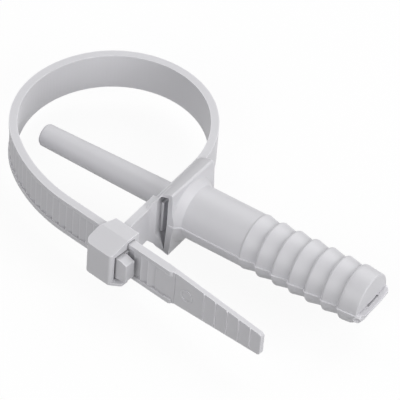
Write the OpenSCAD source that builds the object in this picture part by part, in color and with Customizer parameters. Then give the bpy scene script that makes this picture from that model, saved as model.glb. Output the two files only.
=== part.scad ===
// Cable tie moulded in one piece with a fir tree wall plug and its drive pin.
// Frame: +X is the plug's axis, towards its tip. The loop lies in the XY plane.
// Origin: on the plug's axis, where the head meets the round shank.

/* [Strap] */
// Height of the strap, along Z
strap_w = 5.9; // [5.4:0.1:6.6]
// Thickness of the strap over its two rails
strap_t = 1.2; // [1.0:0.05:1.4]
// Height of each rail beside the toothed channel
rail_w = 0.65; // [0.4:0.05:0.9]
// Depth of the toothed channel below the rails
channel_d = 0.5; // [0.42:0.01:0.55]
// Height of the ratchet teeth above the channel's floor
tooth_h = 0.4; // [0.25:0.01:0.42]
// Length of the strap from one tooth to the next
tooth_pitch = 1.27; // [1.1:0.01:1.5]

/* [Loop] */
// Distance of the strap's centre line from the head's shoulder
root_back = 4.25; // [4.0:0.05:4.6]
// Distance of the strap's first bend from the plug's axis
root_start = 5.03; // [4.9:0.01:5.3]
// Bend radius of the strap above the head
bend_root_r = 16.5; // [15:0.1:18]
// Turn of the strap above the head, in degrees
bend_root_a = 41.7; // [38:0.1:46]
// Bend radius at the loop's far end
bend_far_r = 13.7; // [12.5:0.1:15]
// Turn at the loop's far end, in degrees
bend_far_a = 100.7; // [95:0.1:106]
// Bend radius at the side of the loop opposite the plug
bend_side_r = 15.4; // [14:0.1:17]
// Turn at the side of the loop opposite the plug, in degrees
bend_side_a = 88.6; // [84:0.1:93]
// Bend radius on the way back to the buckle
bend_back_r = 25.9; // [23:0.1:29]
// Slope of the tail against the plug's axis, in degrees
tail_slope = 7.5; // [5:0.1:10]

/* [Wall plug] */
// Diameter of the plug's round shank
plug_d = 8.0; // [7.8:0.05:8.2]
// Length of the smooth shank in front of the barbs
shank_len = 9.1; // [8:0.1:11]
// Number of barbs round the plug
barb_count = 7; // [5:1:9]
// Distance from one barb to the next
barb_pitch = 2.66; // [2.4:0.02:3]
// Height of a barb's crest above the shank
barb_rise = 0.12; // [0.05:0.01:0.2]
// Depth of the groove between two barbs below the shank
barb_dip = 0.34; // [0.2:0.02:0.5]
// Rounding of a barb's crest
barb_round = 0.4; // [0.3:0.05:0.6]
// Length of the half above the parting plane past the last barb
nose_upper = 0.5; // [0.3:0.05:1]
// Length by which the lower half stands out past the upper one
nose_step = 0.95; // [0.7:0.05:1.3]
// Length by which the lower half's end slopes back
nose_rake = 3.6; // [2.5:0.1:4.5]
// Width of the slit at the foot of the upper half's end
slit_w = 2.7; // [2:0.1:4]
// Height of that slit
slit_h = 1.4; // [0.8:0.1:2]
// Depth of that slit from the upper half's end
slit_len = 6; // [4:0.5:9]

/* [Drive pin] */
// Length of the pin from the head's back to its free end
pin_len = 21.7; // [18:0.1:24]
// Diameter of the pin's free end
pin_tip_d = 3.38; // [3:0.02:3.8]
// Diameter of the pin where it leaves the head
pin_root_d = 4.1; // [3.8:0.05:4.6]
// Edge break round the pin's free end
pin_edge = 0.3; // [0.1:0.05:0.6]

/* [Head] */
// Distance of the head's near end from the plug's axis, along Y
head_near = 4.7; // [4.4:0.05:5]
// Distance of the head's far end from the plug's axis, along Y
head_far = 5.1; // [4.7:0.05:5.3]
// Height of the head, along Z
head_h = 11.4; // [10.6:0.1:12]
// Distance of the head's back from the shoulder
head_back = 4.75; // [4.5:0.05:5.2]
// Distance of the widest front edge from the shoulder
head_front = 1.1; // [0.8:0.05:1.4]
// Draft of the front face from the parting plane to the top
head_draft = 0.3; // [0.2:0.05:0.5]
// Draft of the front face from the parting plane to the bottom
head_draft_low = 0.55; // [0.3:0.05:0.8]
// Turn of the front's upper half out of square with the plug, in degrees
head_yaw = 2.2; // [0:0.1:3]
// Edge break along the front's upper edge
head_edge = 0.3; // [0.15:0.05:0.4]
// Edge break along the front's lower edge, left nearly sharp
head_edge_low = 0.02; // [0.01:0.01:0.1]
// Radius of the head's rounded back edges
head_round = 3.8; // [3.2:0.1:4.4]
// Radius of the fillet between the head's near end and the buckle's arm
gusset_r = 1.75; // [1.2:0.05:2.2]
// Radius of the fillet between the head's far end and the strap
gusset_far_r = 1.35; // [1:0.05:1.6]
// Height of the cone between the head's front and the shank
collar_rise = 1.28; // [1:0.02:1.5]
// Width of the slot in each end of the head
pocket_w = 1.45; // [1.1:0.05:1.6]
// Depth of the slot in each end of the head
pocket_depth = 2.4; // [1.5:0.1:2.6]

/* [Buckle] */
// Size of the buckle's box along the plug's axis
buckle_l = 4.9; // [4.6:0.05:5.2]
// Distance of the buckle's centre from the shoulder
buckle_back = 4.83; // [4.7:0.01:4.95]
// Reach of the buckle outside the strap's centre line
buckle_out = 4.05; // [3.8:0.05:4.4]
// Reach of the buckle inside the strap's centre line
buckle_in = 1.5; // [1.4:0.05:1.9]
// Height of the buckle at the strap
buckle_h = 7.2; // [6.9:0.1:7.6]
// Height of the buckle's outer face
buckle_face_h = 5.3; // [5:0.1:6.4]
// Thickness of the buckle's outer wall
buckle_wall = 0.8; // [0.6:0.05:0.9]
// Clearance round the strap in the buckle
slot_gap = 0.12; // [0.08:0.01:0.15]
// Length by which the pawl stands out of the buckle
pawl_out = 1.8; // [1.4:0.05:2]
// Width of the pawl across its hinge
pawl_w = 3.6; // [3.2:0.1:3.8]
// Gap between the pawl and the tips of the teeth
pawl_gap = 0.08; // [0.05:0.01:0.12]

/* [Tail] */
// Length of toothed strap past the buckle
toothed_out = 7.1; // [5:0.1:8]
// Length of the smooth tail and grip past the teeth
tail_len = 16.4; // [14:0.1:18]
// Thickness of the tail
tail_t = 0.75; // [0.6:0.05:0.9]
// Height of the tail's end
tail_tip_w = 3.75; // [3.4:0.05:4.6]
// Number of grip ridges
grip_count = 5; // [3:1:6]
// Distance from one grip ridge to the next
grip_pitch = 2.05; // [1.8:0.05:2.3]
// Height of a grip ridge above the tail
grip_rise = 0.14; // [0.1:0.02:0.3]
// Radius of the tail's two end corners
tip_round = 0.45; // [0.35:0.05:1.2]

/* [Hidden] */
$fn = 96;
nylon = [0.82, 0.82, 0.84];
half_w = strap_w / 2;
half_t = strap_t / 2;
bend_step = 2.5;
// overlap of joined shapes, and reach of cutters past the part
margin = 1;
clear = 10;
floor_out = half_t - channel_d;
flat_out = 0.26;
tooth_foot = 0.12;
bend_back_a = 270 - tail_slope - bend_root_a - bend_far_a - bend_side_a;
start = [-root_back, root_start];
head_2 = 90 + bend_root_a;
head_3 = head_2 + bend_far_a;
head_4 = head_3 + bend_side_a;
c_root = start + bend_root_r * left(90);
p_far = c_root - bend_root_r * left(head_2);
c_far = p_far + bend_far_r * left(head_2);
p_side = c_far - bend_far_r * left(head_3);
c_side = p_side + bend_side_r * left(head_3);
p_back = c_side - bend_side_r * left(head_4);
c_back = p_back + bend_back_r * left(head_4);
run_start = c_back - bend_back_r * left(-tail_slope);
run_cos = cos(tail_slope);
to_buckle = (-buckle_back - run_start[0]) / run_cos;
buckle_y = run_start[1] - to_buckle * sin(tail_slope);
run_teeth = to_buckle + buckle_l / 2 + toothed_out;
plug_r = plug_d / 2;
barbs_end = shank_len + barb_count * barb_pitch;
arm_x = -4.75;
head_top = head_h / 2;

// Unit vector to the left of a heading
function left(a) = [-sin(a), cos(a)];

// Points along one bend at a distance outside the strap's centre line
function arc_points(centre, r, heading, sweep, out) = [
    for (i = [0 : ceil(sweep / bend_step)])
    centre - (r + out) * left(heading + sweep * i / ceil(sweep / bend_step))];

// Edges of the ratchet teeth round one bend, from the channel's floor
function bend_teeth(centre, r, heading, sweep) = [
    let (count = floor(sweep * PI / 180 * r / tooth_pitch))
    for (i = [0 : count - 1], j = [0, 1])
    centre - (r + floor_out + (1 - j) * tooth_h)
        * left(heading + sweep / count * (i + (j == 0 ? tooth_foot : 1)))];

// Point on the straight run, by length and distance outside the centre line
function run_point(length, out) = run_start
    + length * [run_cos, -sin(tail_slope)] - out * left(-tail_slope);

// Side of the toothed strap from the loop's far end to the end of its teeth
function toothed_side(out) = concat(
    arc_points(c_far, bend_far_r, head_2, bend_far_a, out),
    arc_points(c_side, bend_side_r, head_3, bend_side_a, out),
    arc_points(c_back, bend_back_r, head_4, bend_back_a, out));

// One side of the whole strap, from the head to the end of its teeth
function strap_side(out) = concat(
    [[-root_back + out, 0]],
    arc_points(c_root, bend_root_r, 90, bend_root_a, out),
    toothed_side(out),
    [run_point(run_teeth, out)]);

// List in reverse order
function reversed(list) = [for (i = [len(list) - 1 : -1 : 0]) list[i]];

// Edges of the ratchet teeth on the straight run, and the flat past the last one
function run_profile(count) = concat(
    [for (i = [0 : count - 1], j = [0, 1])
        run_point(tooth_pitch * (i + (j == 0 ? tooth_foot : 1)), floor_out + (1 - j) * tooth_h)],
    [run_point(tooth_pitch * (count + tooth_foot), flat_out),
        run_point(run_teeth + margin, flat_out), run_point(run_teeth + margin, strap_t)]);

// Strap with its toothed channel, from the head round to the end of its teeth
module strap() {
    flat_len = 1.9;
    difference() {
        translate([0, 0, -half_w])
        linear_extrude(strap_w)
        polygon(concat(strap_side(half_t), reversed(strap_side(-half_t))));
        translate([0, 0, rail_w - half_w])
        linear_extrude(strap_w - 2 * rail_w)
        polygon(concat(
            bend_teeth(c_far, bend_far_r, head_2, bend_far_a),
            bend_teeth(c_side, bend_side_r, head_3, bend_side_a),
            bend_teeth(c_back, bend_back_r, head_4, bend_back_a),
            run_profile(floor((run_teeth - flat_len) / tooth_pitch)),
            reversed(toothed_side(strap_t))));
    }
}

// Puts its children in the frame of the strap's straight run
module on_run() {
    translate([run_start[0], run_start[1], 0])
    rotate([0, 0, -tail_slope])
    children();
}

// Outline of the tail in the plane of its broad side, from a little way back
module tail_side(back) {
    tip_half = tail_tip_w / 2;
    corner = tip_half - tip_round;
    polygon([
        [-back, -half_w], [0, -half_w], [tail_len - tip_round, -tip_half],
        [tail_len - tip_round, tip_half], [0, half_w], [-back, half_w]]);
    translate([tail_len - 2 * tip_round, -corner])
    square([2 * tip_round, 2 * corner]);
    for (s = [-1, 1]) {
        translate([tail_len - tip_round, s * corner])
        circle(tip_round);
    }
}

// One grip ridge across the tail, clear of its lower edge
module grip_ridge(x) {
    half = half_w + (tail_tip_w / 2 - half_w) * x / (tail_len - tip_round);
    foot = 0.1;
    below = 0.25;
    translate([x, foot, below - half])
    linear_extrude(2 * half)
    polygon([[-0.2, 0], [0.18, 0], [0.06, -foot - grip_rise], [-0.08, -foot - grip_rise]]);
}

// Smooth tail with its ring mark and its grip ridges
module tail() {
    outer_y = half_t - tail_t;
    ear_len = 0.35;
    ear_w = rail_w + 0.15;
    flat_end = 1.15;
    grip_end = 1.85;
    ring_x = 3.3;
    ring_r = 1.05;
    ring_w = 0.27;
    ring_h = 0.1;
    // rounded ends of the two rails
    for (z = [-half_w, half_w - ear_w]) {
        translate([run_teeth + ear_len, -floor_out, z])
        cylinder(h = ear_w, r = channel_d);
        translate([run_teeth - ear_len, -half_t, z])
        cube([2 * ear_len, half_t, ear_w]);
    }
    intersection() {
        translate([run_teeth - margin, half_t, 0])
        rotate([90, 0, 0])
        linear_extrude(strap_t + margin)
        translate([margin, 0])
        tail_side(margin);
        union() {
            // end of the flat past the teeth
            translate([run_teeth - ear_len, -flat_out, -half_w])
            cube([ear_len + flat_end, flat_out, strap_w]);
            translate([run_teeth - ear_len, outer_y, -half_w])
            cube([tail_len + margin, tail_t, strap_w]);
            for (i = [0 : grip_count - 1]) {
                translate([run_teeth, outer_y, 0])
                grip_ridge(tail_len - grip_end - i * grip_pitch);
            }
        }
    }
    translate([run_teeth + ring_x, outer_y, 0])
    rotate([90, 0, 0])
    difference() {
        translate([0, 0, -ring_h])
        cylinder(h = 2 * ring_h, r = ring_r);
        cylinder(h = margin, r = ring_r - ring_w);
    }
}

// Profile of the head across the strap, with its rounded back
module head_profile() {
    translate([-head_back, head_round - head_top])
    square([head_back, head_h - 2 * head_round]);
    translate([head_round - head_back, -head_top])
    square([head_back, head_h]);
    for (s = [-1, 1]) {
        translate([head_round - head_back, s * (head_top - head_round)])
        circle(head_round);
    }
}

// Room behind one half of the drafted front face, along Z from the parting plane
module front_room(draft, edge) {
    front_x = -head_front - draft;
    back_x = -head_back / 2;
    translate([0, clear, 0])
    rotate([90, 0, 0])
    linear_extrude(2 * clear)
    polygon([
        [-head_front, 0], [front_x, head_top - edge], [front_x - edge, head_top],
        [-clear, head_top], [-clear, -head_top], [back_x, -head_top], [back_x, 0]]);
}

// Plan of the head with the fillets that run out into the strap and the arm
module head_plan() {
    back = -head_back;
    translate([back - margin, -head_near])
    square([head_back + margin, head_near + head_far]);
    for (end = [[1, head_far, gusset_far_r], [-1, head_near, gusset_r]]) {
        reach = end[2] + strap_t / 2;
        difference() {
            translate([back, end[0] > 0 ? end[1] - 0.1 : -end[1] - end[2]])
            square([reach, end[2] + 0.1]);
            translate([back + reach, end[0] * (end[1] + end[2])])
            circle(end[2]);
        }
    }
}

// Height of the head along the loop: it runs down to the strap past its ends
module head_side() {
    far = head_far + gusset_far_r;
    near = head_near + gusset_r;
    corner = 0.35;
    drop = 1.3;
    polygon([
        [-head_near, head_top], [head_far - corner, head_top], [head_far, head_top - drop],
        [far, half_w], [far, -half_w], [head_far, drop - head_top], [head_far - corner, -head_top],
        [-head_near, -head_top], [-head_near - 0.5, -half_w - drop], [-near, -half_w],
        [-near, half_w], [-head_near - 0.5, half_w + drop]]);
}

// Solid head
module head_body() {
    intersection() {
        translate([-2 * head_back, 0, 0])
        rotate([90, 0, 90])
        linear_extrude(3 * head_back)
        head_side();
        translate([0, clear, 0])
        rotate([90, 0, 0])
        linear_extrude(2 * clear)
        head_profile();
        union() {
            rotate([0, 0, -head_yaw])
            front_room(head_draft, head_edge);
            mirror([0, 0, 1])
            front_room(head_draft_low, head_edge_low);
        }
        translate([0, 0, -head_h])
        linear_extrude(2 * head_h)
        head_plan();
    }
}

// Cone from the head's drafted front to the round shank
module collar() {
    cone_len = 1.5;
    cone_end = -0.25;
    intersection() {
        translate([cone_end - cone_len, 0, 0])
        rotate([0, 90, 0])
        cylinder(h = cone_len, r1 = plug_r + collar_rise, r2 = plug_r);
        translate([-head_back, -head_near, -head_top])
        cube([head_back + margin, head_near + head_far, head_h]);
    }
}

// Slot in the near end of the head, with a pointed floor and a rib on its back wall
module pocket() {
    x1 = -2.2;
    x0 = x1 - pocket_w;
    rib = [0.42, 5.3];
    rib_inset = 0.55;
    rib_foot = -2.35;
    difference() {
        translate([0, pocket_depth - head_near, 0])
        rotate([90, 0, 0])
        linear_extrude(pocket_depth + 2 * margin)
        polygon([
            [x0, 3.9], [x0 + 0.35, 4.7], [x1, 4.8], [x1, 0],
            [x1 - 0.22, -5], [x0 + 0.15, -2.6], [x0, -2.3]]);
        translate([x0 - margin, rib_inset - head_near, rib_foot])
        cube([rib[0] + margin, pocket_depth, rib[1]]);
    }
}

// Profile of the barbed plug, radius along X and the plug's axis along Y
module plug_profile() {
    valley = plug_r - barb_dip;
    crest = plug_r + barb_rise;
    overlap = 0.3;
    flank = 0.05;
    translate([0, -head_front])
    square([plug_r, head_front + shank_len + overlap]);
    translate([0, shank_len])
    square([valley, barbs_end - shank_len]);
    for (i = [0 : barb_count - 1]) {
        y0 = shank_len + i * barb_pitch + flank + barb_round;
        y1 = shank_len + (i + 1) * barb_pitch;
        translate([crest - barb_round, y0])
        circle(barb_round);
        polygon([[1, y0], [crest, y0], [valley, y1], [1, y1]]);
    }
}

// One half's end past the last barb's crest, turned round the axis
module turned_end(len, taper, edge) {
    crest_y = barbs_end - barb_pitch + 0.6;
    end_y = barbs_end + len;
    rotate([0, 90, 0])
    rotate_extrude()
    polygon([
        [0, crest_y], [plug_r + barb_rise, crest_y], [plug_r - 0.08, end_y - 0.1 - edge - taper],
        [plug_r - 0.05 - edge / 4 - taper / 2, end_y - 0.58 * edge],
        [plug_r - edge - taper / 2, end_y - edge / 6], [0, end_y + 0.1]]);
}

// Wall plug: barbed shank, slit, and the unequal ends of its two halves
module plug() {
    upper_end = barbs_end + nose_upper;
    lower_end = upper_end + nose_step;
    end_start = barbs_end - 3;
    lower_taper = 0.9;
    raked_x = lower_end - nose_rake;
    slit_open = 0.28;
    slit_rise = 0.2;
    difference() {
        union() {
            rotate([0, 90, 0])
            rotate_extrude()
            plug_profile();
            intersection() {
                turned_end(nose_upper, 0, 0.25);
                translate([end_start, -clear, 0])
                cube([clear, 2 * clear, clear]);
            }
            intersection() {
                turned_end(nose_upper + nose_step, lower_taper, 0.6);
                translate([0, clear, 0])
                rotate([90, 0, 0])
                linear_extrude(2 * clear)
                polygon([
                    [end_start, 0.01], [lower_end + 0.5, 0.01], [lower_end + 0.15, -0.1],
                    [raked_x, -plug_r], [raked_x, -plug_r - margin], [end_start, -plug_r - margin]]);
            }
        }
        translate([upper_end - slit_len, -slit_w / 2, slit_rise - slit_h])
        cube([slit_len + slit_open, slit_w, slit_h]);
    }
}

// Drive pin with its flared root
module pin() {
    root_r = pin_root_d / 2;
    tip_r = pin_tip_d / 2;
    flare = 0.5;
    translate([-head_back, 0, 0])
    rotate([0, -90, 0])
    union() {
        translate([0, 0, -margin])
        cylinder(h = 1.01 * margin, r = root_r);
        cylinder(h = pin_len - pin_edge, r1 = root_r, r2 = tip_r);
        translate([0, 0, pin_len - pin_edge])
        cylinder(h = pin_edge, r1 = tip_r, r2 = tip_r - pin_edge * 0.6);
        translate([0, 0, -margin])
        cylinder(h = margin + flare, r1 = root_r + 3 * flare, r2 = root_r - 0.03);
    }
}

// Strap root between the buckle and the head
module arm() {
    y0 = buckle_y + buckle_in - 0.5;
    translate([arm_x - half_t, y0, -half_w])
    cube([strap_t, margin - y0 - head_near, strap_w]);
}

// Band of strap along the head's back
module back_band() {
    translate([-root_back - half_t, -head_near, -half_w])
    cube([strap_t, head_near + head_far, strap_w]);
}

// Cutter that rounds one upright edge of the quarter where X and Y are positive
module edge_cut(r) {
    translate([0, 0, -clear])
    linear_extrude(2 * clear)
    difference() {
        translate([-margin, -margin])
        square(r + margin);
        translate([r, r])
        circle(r);
    }
}

// Buckle's box with its rounded edges, its slot and the pawl's chamber
module buckle_box(x0, x1) {
    ridge_y = -0.75;
    face_half = buckle_face_h / 2;
    half_h = buckle_h / 2;
    wall_out = buckle_wall - buckle_out;
    chamber_len = 3.1;
    chamber_w = pawl_w + 0.6;
    side_y = -1.15;
    side_cut = 0.72;
    difference() {
        translate([x0, 0, 0])
        rotate([90, 0, 90])
        linear_extrude(buckle_l)
        polygon([
            [-buckle_out, -face_half], [ridge_y, -half_h], [buckle_in, -half_h],
            [buckle_in, half_h], [ridge_y, half_h], [-buckle_out, face_half]]);
        translate([x0, -buckle_out, 0])
        edge_cut(1.1);
        translate([x1, -buckle_out, 0])
        rotate([0, 0, 90])
        edge_cut(0.5);
        // slanted side towards the loop
        translate([x0, 0, -clear])
        linear_extrude(2 * clear)
        polygon([
            [-margin, side_y], [0, side_y], [side_cut, buckle_in],
            [side_cut, buckle_in + margin], [-margin, buckle_in + margin]]);
        // way of the strap
        translate([0, -half_t - slot_gap, -half_w - slot_gap])
        cube([run_teeth, strap_t + 2 * slot_gap, strap_w + 2 * slot_gap]);
        // chamber of the pawl, open to the exit side
        translate([x1 - chamber_len, wall_out, -chamber_w / 2])
        cube([chamber_len + margin, -wall_out - half_t, chamber_w]);
    }
    // lip below the pawl
    translate([x1 - 0.5, 0, -face_half])
    linear_extrude(0.45)
    polygon([
        [0, wall_out - 0.6], [0.5, wall_out - 0.6], [1.7, wall_out + 0.3], [1.7, -1.7], [0, -1.7]]);
}

// Pawl in its chamber, and its nub outside the buckle
module pawl(x1) {
    pawl_in = floor_out + tooth_h + pawl_gap;
    pawl_reach = buckle_out - buckle_wall - 0.35;
    hinge_x = -3.4;
    nub_in = 1.25;
    pawl_half = pawl_w / 2;
    nub_cut = 0.35;
    for (part = [[pawl_in, 0.1], [nub_in, pawl_out]]) {
        shoulder = 0.1 + part[1] * 0.25;
        translate([x1, -part[0], 0])
        rotate([90, 0, 0])
        linear_extrude(pawl_reach - part[0])
        polygon([
            [hinge_x, -pawl_half], [shoulder, -pawl_half], [part[1], nub_cut - pawl_half],
            [part[1], pawl_half - nub_cut], [shoulder, pawl_half], [hinge_x, pawl_half]]);
    }
}

// Buckle with its pawl, in the frame of the straight run
module buckle() {
    x1 = to_buckle + buckle_l / 2;
    on_run()
    buckle_box(to_buckle - buckle_l / 2, x1);
    on_run()
    pawl(x1);
}

// The whole moulding
module cable_tie() {
    color(nylon)
    union() {
        strap();
        on_run()
        tail();
        arm();
        back_band();
        buckle();
        pin();
        plug();
        collar();
        difference() {
            head_body();
            pocket();
        }
    }
}

cable_tie();
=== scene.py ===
import math

import bpy
import numpy as np
from mathutils import Matrix, Vector
from mathutils.bvhtree import BVHTree


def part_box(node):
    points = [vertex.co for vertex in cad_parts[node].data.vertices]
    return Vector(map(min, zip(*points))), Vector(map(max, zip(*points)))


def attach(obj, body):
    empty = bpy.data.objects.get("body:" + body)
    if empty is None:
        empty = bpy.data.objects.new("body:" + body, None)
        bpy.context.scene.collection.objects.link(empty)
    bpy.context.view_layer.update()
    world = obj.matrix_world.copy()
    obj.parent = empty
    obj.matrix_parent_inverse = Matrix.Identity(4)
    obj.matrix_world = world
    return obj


# The moulding
# A cable tie, its head, its wall plug and its drive pin, shot in one piece from light
# grey polyamide. The steel mould's fine spark finish leaves the skin satin, and every
# edge comes out slightly rounded.
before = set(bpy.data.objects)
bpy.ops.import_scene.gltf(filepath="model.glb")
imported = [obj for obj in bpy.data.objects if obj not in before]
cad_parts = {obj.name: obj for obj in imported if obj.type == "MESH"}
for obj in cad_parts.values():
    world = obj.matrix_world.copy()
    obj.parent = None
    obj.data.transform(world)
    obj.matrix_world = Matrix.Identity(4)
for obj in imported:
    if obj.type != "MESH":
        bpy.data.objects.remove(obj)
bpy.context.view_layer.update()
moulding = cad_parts["cable_tie"]
POLYAMIDE = (0.64, 0.636, 0.662, 1.0)
POLYAMIDE_IOR = 1.53
POLYAMIDE_SPECULAR = 0.4
SKIN_ROUGHNESS = 0.42
ROUGHNESS_SPREAD = 0.25
TONE_SPREAD = 0.07
FLOW_PER_METRE = 170.0
GRAIN_PER_METRE = 5200.0
GRAIN_SHARE = 0.12
SKIN_RELIEF = 0.00006
RELIEF_STRENGTH = 0.35
EDGE_RADIUS = 0.00008
# Reach and strength of the painted highlight on edges; the parting ledges get a weaker one.
EDGE_REACH = 0.00028
PAINTED_EDGE_HIGHLIGHT = 0.9
FLASH_PAINTED_HIGHLIGHT = 0.42
# Reach and strength of the painted shade in creases.
CREASE_REACH = 0.00045
PAINTED_CREASE_SHADE = 0.8


def worked_out(tree, operation, *terms):
    """Output of a Math node on the terms, each of which is a socket or a number."""
    step = tree.nodes.new("ShaderNodeMath")
    step.operation = operation
    for socket, term in zip(step.inputs, terms):
        if isinstance(term, float):
            socket.default_value = term
        else:
            tree.links.new(term, socket)
    return step.outputs[0]


def skin_group():
    """Node group for a moulded skin: cloudy flow tone, painted edge highlights, painted crease
    shade and grain.

    Tone is the flow noise spread about 1, raised as a painted highlight where the plastic is
    thin behind an edge, and lowered as painted shade in a crease. Roughness is the base plus
    the same noise. Height is the sum of a fine spark-finish grain and a long, shallow sink
    wave.
    """
    group = bpy.data.node_groups.new("moulded_skin", "ShaderNodeTree")
    for label, way, kind in (
        ("Tone Spread", "INPUT", "NodeSocketFloat"),
        ("Painted Edge Highlight", "INPUT", "NodeSocketFloat"),
        ("Painted Crease Shade", "INPUT", "NodeSocketFloat"),
        ("Base Colour", "INPUT", "NodeSocketColor"),
        ("Base Roughness", "INPUT", "NodeSocketFloat"),
        ("Colour", "OUTPUT", "NodeSocketColor"),
        ("Roughness", "OUTPUT", "NodeSocketFloat"),
        ("Height", "OUTPUT", "NodeSocketFloat"),
    ):
        group.interface.new_socket(label, in_out=way, socket_type=kind)
    nodes, links = group.nodes, group.links
    given = nodes.new("NodeGroupInput")
    made = nodes.new("NodeGroupOutput")
    place = nodes.new("ShaderNodeTexCoord")

    flow = nodes.new("ShaderNodeTexNoise")
    flow.inputs["Scale"].default_value = FLOW_PER_METRE
    flow.inputs["Detail"].default_value = 3.0
    links.new(place.outputs["Object"], flow.inputs["Vector"])
    grain = nodes.new("ShaderNodeTexNoise")
    grain.inputs["Scale"].default_value = GRAIN_PER_METRE
    grain.inputs["Detail"].default_value = 4.0
    grain.inputs["Roughness"].default_value = 0.6
    links.new(place.outputs["Object"], grain.inputs["Vector"])

    # tone = 1 + (flow - 0.5) * spread
    centred = worked_out(group, "SUBTRACT", flow.outputs["Fac"], 0.5)
    tone = worked_out(group, "MULTIPLY_ADD", centred, given.outputs["Tone Spread"], 1.0)

    # tone * (1 + edge * (1 - open behind)^2) * (1 + crease * (1 - open in front)^2)
    for behind, reach, change in (
        # edges: a painted highlight where the plastic is thin behind the surface
        (True, EDGE_REACH, "Painted Edge Highlight"),
        # creases: painted shade where the surface is closed in front
        (False, CREASE_REACH, "Painted Crease Shade"),
    ):
        around = nodes.new("ShaderNodeAmbientOcclusion")
        around.inside = behind
        around.only_local = True
        around.samples = 16
        around.inputs["Distance"].default_value = reach
        closed = worked_out(group, "SUBTRACT", 1.0, around.outputs["AO"])
        squared = worked_out(group, "POWER", closed, 2.0)
        factor = worked_out(group, "MULTIPLY_ADD", squared, given.outputs[change], 1.0)
        tone = worked_out(group, "MULTIPLY", tone, factor)
    tinted = nodes.new("ShaderNodeVectorMath")
    tinted.operation = "SCALE"
    links.new(given.outputs["Base Colour"], tinted.inputs[0])
    links.new(tone, tinted.inputs["Scale"])
    links.new(tinted.outputs[0], made.inputs["Colour"])

    # roughness = base + spread * (flow - 0.5)
    base = given.outputs["Base Roughness"]
    rough = worked_out(group, "MULTIPLY_ADD", centred, ROUGHNESS_SPREAD, base)
    links.new(rough, made.inputs["Roughness"])

    # height = flow + share * grain
    wave = flow.outputs["Fac"]
    height = worked_out(group, "MULTIPLY_ADD", grain.outputs["Fac"], GRAIN_SHARE, wave)
    links.new(height, made.inputs["Height"])
    return group


def polyamide(name, group, painted_highlight):
    """Satin polyamide: the skin group on a Principled shader, its edges rounded in shading."""
    material = bpy.data.materials.new(name)
    material.use_nodes = True
    nodes, links = material.node_tree.nodes, material.node_tree.links
    shader = nodes["Principled BSDF"]
    skin = nodes.new("ShaderNodeGroup")
    skin.node_tree = group
    skin.inputs["Tone Spread"].default_value = TONE_SPREAD
    # strength of the painted highlight on edges
    skin.inputs["Painted Edge Highlight"].default_value = painted_highlight
    # strength of the painted shade in creases
    skin.inputs["Painted Crease Shade"].default_value = -PAINTED_CREASE_SHADE
    skin.inputs["Base Colour"].default_value = POLYAMIDE
    skin.inputs["Base Roughness"].default_value = SKIN_ROUGHNESS
    rounded = nodes.new("ShaderNodeBevel")
    rounded.samples = 6
    rounded.inputs["Radius"].default_value = EDGE_RADIUS
    bump = nodes.new("ShaderNodeBump")
    bump.inputs["Strength"].default_value = RELIEF_STRENGTH
    bump.inputs["Distance"].default_value = SKIN_RELIEF
    links.new(skin.outputs["Height"], bump.inputs["Height"])
    links.new(rounded.outputs["Normal"], bump.inputs["Normal"])
    links.new(bump.outputs["Normal"], shader.inputs["Normal"])
    links.new(skin.outputs["Colour"], shader.inputs["Base Color"])
    links.new(skin.outputs["Roughness"], shader.inputs["Roughness"])
    shader.inputs["IOR"].default_value = POLYAMIDE_IOR
    shader.inputs["Specular IOR Level"].default_value = POLYAMIDE_SPECULAR
    return material


skin = skin_group()
moulding.data.materials.clear()
moulding.data.materials.append(polyamide("grey_polyamide", skin, PAINTED_EDGE_HIGHLIGHT))

# The parting line
# The mould's halves meet at mid-height, and the lower half is a hair wider. That leaves a
# narrow ledge of the same polyamide, with a rounded lip, along both sides of the head and
# the plug.
LEDGE_OUT = 0.00017
LEDGE_THICK = 0.00018
LEDGE_STEP = 0.0001
LEDGE_TAPER = 0.0004
LIP_POINTS = 16
PARTING_Z = 0.00003
HEAD_SIDE_X = -0.00203
TIP_MARGIN = 0.00048
OUTSIDE_Y = 0.008
RAY_SHARE = 0.3
# A copy of the skin whose painted edge highlight is weaker, for the thin added pieces.
thin = polyamide("thin_polyamide", skin, FLASH_PAINTED_HIGHLIGHT)


def closed_grid(name, points, flip):
    """A piece of thin polyamide from rings points[i, j], where j goes round each ring.

    The first and last rings are single points, which close its ends. Flip turns the faces
    round, for rings that run the other way.
    """
    rings, around = points.shape[:2]
    body = points[1:-1].reshape(-1, 3)
    poles = np.vstack([points[0, 0], points[-1, 0]])
    index = np.arange((rings - 2) * around).reshape(rings - 2, around)
    after = np.roll(index, -1, axis=1)
    quads = np.stack([index[:-1], after[:-1], after[1:], index[1:]], axis=-1).reshape(-1, 4)
    first = np.full(around, len(body))
    start = np.stack([first, after[0], index[0]], axis=-1)
    finish = np.stack([first + 1, index[-1], after[-1]], axis=-1)
    way = -1 if flip else 1
    faces = [face for part in (quads, start, finish) for face in part[:, ::way].tolist()]
    mesh = bpy.data.meshes.new(name)
    mesh.from_pydata(np.vstack([body, poles]).tolist(), [], faces)
    mesh.polygons.foreach_set("use_smooth", [True] * len(faces))
    piece = bpy.data.objects.new(name, mesh)
    bpy.context.scene.collection.objects.link(piece)
    mesh.materials.append(thin)
    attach(piece, "root")
    return piece


def side_outline(tree, side, start, end):
    """Points (x, y) of the part's side just below the parting plane, from start to end on X.

    Each one is where a ray along Y from outside first meets the solid. They are then
    spaced evenly along the outline, by its summed length.
    """
    xs = np.linspace(start, end, 1 + round((end - start) / (RAY_SHARE * LEDGE_STEP)))
    inward = Vector((0, -side, 0))
    hits = [tree.ray_cast(Vector((x, side * OUTSIDE_Y, -PARTING_Z)), inward)[0] for x in xs]
    seen = np.array([[hit.x, hit.y] for hit in hits])
    along = np.concatenate([[0], np.cumsum(np.linalg.norm(np.diff(seen, axis=0), axis=1))])
    even = np.linspace(0, along[-1], 1 + round(along[-1] / LEDGE_STEP))
    return np.column_stack([np.interp(even, along, seen[:, axis]) for axis in (0, 1)])


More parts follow.
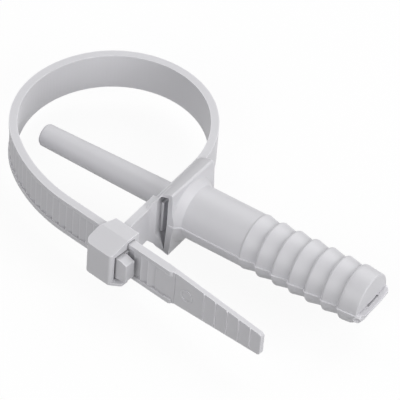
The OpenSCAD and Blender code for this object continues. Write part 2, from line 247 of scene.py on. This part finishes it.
def parting_ledge(name, path, side):
    """A ledge with a flat top: p(s, a) = path(s) + w out C(a) n(s) + thick / 2 (w S(a) - 1) z.

    C and S are the square root of cos(a) and the cube root of sin(a), with their signs, and
    n is the path's outward normal. w(s) rises from 0 to 1 as a square root over LEDGE_TAPER
    at both ends, so each end closes in a point.
    """
    run = np.gradient(path, axis=0)
    normal = side * np.column_stack([-run[:, 1], run[:, 0]])
    normal /= np.linalg.norm(normal, axis=1)[:, None]
    steps = np.arange(len(path)) * LEDGE_STEP
    weight = np.sqrt(np.clip(np.minimum(steps, steps[-1] - steps) / LEDGE_TAPER, 0, 1))
    turn = np.linspace(0, 2 * np.pi, LIP_POINTS, endpoint=False)
    across = np.sign(np.cos(turn)) * np.sqrt(abs(np.cos(turn)))
    upward = np.cbrt(np.sin(turn))
    out = LEDGE_OUT * weight[:, None] * across
    points = np.zeros((len(path), LIP_POINTS, 3))
    points[..., :2] = path[:, None, :] + out[..., None] * normal[:, None, :]
    points[..., 2] = 0.5 * LEDGE_THICK * (weight[:, None] * upward - 1)
    return closed_grid(name, points, side < 0)


low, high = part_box("cable_tie")
solid = BVHTree.FromObject(moulding, bpy.context.evaluated_depsgraph_get())
for side, label in ((-1, "near"), (1, "far")):
    outline = side_outline(solid, side, HEAD_SIDE_X, high.x - TIP_MARGIN)
    parting_ledge("parting_ledge_" + label, outline, side)

# The gate mark
# The stub where the mould's gate was broken off, low on the near corner of the tip: a
# small crater in the polyamide, with a raised rim.
GATE_X = 0.02815
GATE_DROP = 0.0008
GATE_RADIUS = 0.00085
GATE_RIM = 0.0003
GATE_CREST = 0.6
GATE_CREST_SPREAD = 0.25
GATE_PIT = 0.00022
GATE_PIT_SPREAD = 0.35
GATE_ROOT = -2.5 * GATE_RIM


def gate_mark(name, centre, axis, rings, around):
    """A crater with a raised rim: p(r, a) = centre + r cos(a) u + r sin(a) v + h(r) axis.

    With q = r / radius, h is rim exp(-((q - crest) / crest spread)^2)
    - pit exp(-(q / pit spread)^2) - rim q^6. The last two rings fall back to a point at
    the root, which closes the crater under the surface.
    """
    u = axis.cross(Vector((0, 0, 1))).normalized()
    v = axis.cross(u)
    ratio = np.concatenate([np.linspace(0, 1, rings), [GATE_CREST, 0.0]])
    height = GATE_RIM * np.exp(-((ratio - GATE_CREST) / GATE_CREST_SPREAD) ** 2)
    height -= GATE_PIT * np.exp(-(ratio / GATE_PIT_SPREAD) ** 2)
    height -= GATE_RIM * ratio ** 6
    height[-2:] = GATE_ROOT
    turn = np.linspace(0, 2 * np.pi, around, endpoint=False)
    wide = GATE_RADIUS * ratio[:, None]
    points = np.array(centre) + (wide * np.cos(turn))[..., None] * np.array(u)
    points = points + (wide * np.sin(turn))[..., None] * np.array(v)
    points = points + height[:, None, None] * np.array(axis)
    return closed_grid(name, points, True)


outside = Vector((GATE_X, -OUTSIDE_Y, -GATE_DROP))
hit, outward = solid.ray_cast(outside, Vector((0, 1, 0)))[:2]
gate_mark("gate_mark", hit, outward, rings=16, around=28)

# The slit's floor
# A step moulded with the lower half closes the slit's mouth a little below the parting
# plane, so only its upper part is open to view.
SLIT_INSET = 0.00076
SLIT_HALF_WIDTH = 0.00137
STEP_REACH = 0.0009
STEP_HALF_THICK = 0.00015
STEP_DROP = 0.00011


def slit_floor(name, front, rings, around):
    """A flat slab with rounded edges across the slit, made of rings along Y from pole to pole.

    p(t, a) = centre + (reach / 2) w C(a) x + half width sin(t) y + half thickness w S(a) z,
    where C and S are the fourth roots of cos(a) and sin(a) with their signs, w is the
    fourth root of cos(t), and t runs from -90 to 90 degrees.
    """
    def root(value):
        return np.sign(value) * abs(value) ** 0.25

    t = np.linspace(-np.pi / 2, np.pi / 2, rings)[:, None]
    turn = np.linspace(0, 2 * np.pi, around, endpoint=False)
    wide = np.where(abs(np.cos(t)) < 1e-9, 0.0, root(np.cos(t)))
    along = front - 0.5 * STEP_REACH * (1 - wide * root(np.cos(turn)))
    across = SLIT_HALF_WIDTH * np.sin(t) * np.ones(around)
    height = -STEP_DROP - STEP_HALF_THICK * (1 - wide * root(np.sin(turn)))
    return closed_grid(name, np.stack([along, across, height], axis=-1), True)


slit_floor("slit_floor", high.x - SLIT_INSET, rings=28, around=24)

# The floor
# A sheet of white paper under the object. The camera sees it nearly as a light table,
# and it keeps a faint shadow of the object.
FLOOR_HALF = 1.5
FLOOR_GAP = 0.00002
FLOOR_TONE = 0.3
PAPER_TONE = 1.0
SHADOW_SHARE = 0.08


def shown_by(tree):
    """Socket that is 1 for camera, glossy and transmission rays, which see a white ground."""
    path = tree.nodes.new("ShaderNodeLightPath")
    total = path.outputs["Is Camera Ray"]
    for kind in ("Is Glossy Ray", "Is Transmission Ray"):
        total = worked_out(tree, "MAXIMUM", total, path.outputs[kind])
    return total


floor_mesh = bpy.data.meshes.new("floor")
corners = FLOOR_HALF * np.array([[-1, -1], [1, -1], [1, 1], [-1, 1]], float)
floor_points = np.column_stack([corners, np.full(4, low.z - FLOOR_GAP)])
floor_mesh.from_pydata(floor_points.tolist(), [], [(0, 1, 2, 3)])
floor = bpy.data.objects.new("floor", floor_mesh)
bpy.context.scene.collection.objects.link(floor)
paper = bpy.data.materials.new("white_paper")
paper.use_nodes = True
nodes, links = paper.node_tree.nodes, paper.node_tree.links
nodes.remove(nodes["Principled BSDF"])
matt = nodes.new("ShaderNodeBsdfDiffuse")
lit = nodes.new("ShaderNodeEmission")
lit.inputs["Strength"].default_value = 1.0
mixed = nodes.new("ShaderNodeMixShader")
shown = shown_by(paper.node_tree)
tone = nodes.new("ShaderNodeMapRange")
tone.inputs["To Min"].default_value = FLOOR_TONE
tone.inputs["To Max"].default_value = PAPER_TONE
links.new(shown, tone.inputs["Value"])
links.new(tone.outputs["Result"], matt.inputs["Color"])
share = worked_out(paper.node_tree, "MULTIPLY", shown, 1.0 - SHADOW_SHARE)
links.new(share, mixed.inputs["Fac"])
links.new(matt.outputs["BSDF"], mixed.inputs[1])
links.new(lit.outputs["Emission"], mixed.inputs[2])
links.new(mixed.outputs["Shader"], nodes["Material Output"].inputs["Surface"])
floor.data.materials.append(paper)

# The light
# A dim white tent, and soft boxes round it: one low in front of the plug's tip, one high
# at each long side, and a weaker one high behind the far part of the loop.
TENT_LEVEL = 0.1
BOX_SIDE = 0.6
BOX_DISTANCE = 0.85
SOFT_BOXES = {
    "tip_box": {"at": (0.93, 0.0, 0.36), "watts": 4.95},
    "near_box": {"at": (0.0, -0.82, 0.53), "watts": 3.5},
    "far_box": {"at": (0.0, 0.75, 0.66), "watts": 3.2},
    "loop_box": {"at": (-0.6, 0.35, 0.72), "watts": 1.5},
}
world = bpy.data.worlds.new("tent")
bpy.context.scene.world = world
world.use_nodes = True
nodes, links = world.node_tree.nodes, world.node_tree.links
background = nodes["Background"]
background.inputs["Color"].default_value = (1.0, 1.0, 1.0, 1.0)
glow = nodes.new("ShaderNodeMapRange")
glow.inputs["To Min"].default_value = TENT_LEVEL
glow.inputs["To Max"].default_value = 1.0
links.new(shown_by(world.node_tree), glow.inputs["Value"])
links.new(glow.outputs["Result"], background.inputs["Strength"])
for name, box in SOFT_BOXES.items():
    light = bpy.data.lights.new(name, "AREA")
    light.shape = "SQUARE"
    light.size = BOX_SIDE
    light.energy = box["watts"]
    lamp = bpy.data.objects.new(name, light)
    bpy.context.scene.collection.objects.link(lamp)
    lamp.location = BOX_DISTANCE * Vector(box["at"]).normalized()
    lamp.rotation_euler = (-lamp.location).to_track_quat("-Z", "Y").to_euler()

# The camera
# It looks down on the loop from the side of the plug's tip, through a long lens, and
# its picture is turned a few degrees, as the photograph's is.
TURN = math.radians(30.642)
TILT = math.radians(42.857)
ROLL = math.radians(4.932)
DISTANCE = 0.41613
LENS = 270.0
SENSOR = 36.0
ORIGIN_RIGHT = -0.000333
ORIGIN_UP = -0.004171
back = Vector((
    math.sin(TURN) * math.cos(TILT),
    -math.cos(TURN) * math.cos(TILT),
    math.sin(TILT),
))
level = Vector((math.cos(TURN), math.sin(TURN), 0.0))
upright = back.cross(level)
right = math.cos(ROLL) * level + math.sin(ROLL) * upright
up = math.cos(ROLL) * upright - math.sin(ROLL) * level
lens = bpy.data.cameras.new("camera")
lens.lens = LENS
lens.sensor_width = SENSOR
lens.clip_start = 0.01
lens.clip_end = 10.0
camera = bpy.data.objects.new("camera", lens)
bpy.context.scene.collection.objects.link(camera)
turned = Matrix((right, up, back)).transposed().to_4x4()
turned.translation = DISTANCE * (back - ORIGIN_RIGHT * right - ORIGIN_UP * up)
camera.matrix_world = turned
bpy.context.scene.camera = camera
bpy.context.scene.view_settings.view_transform = "Standard"
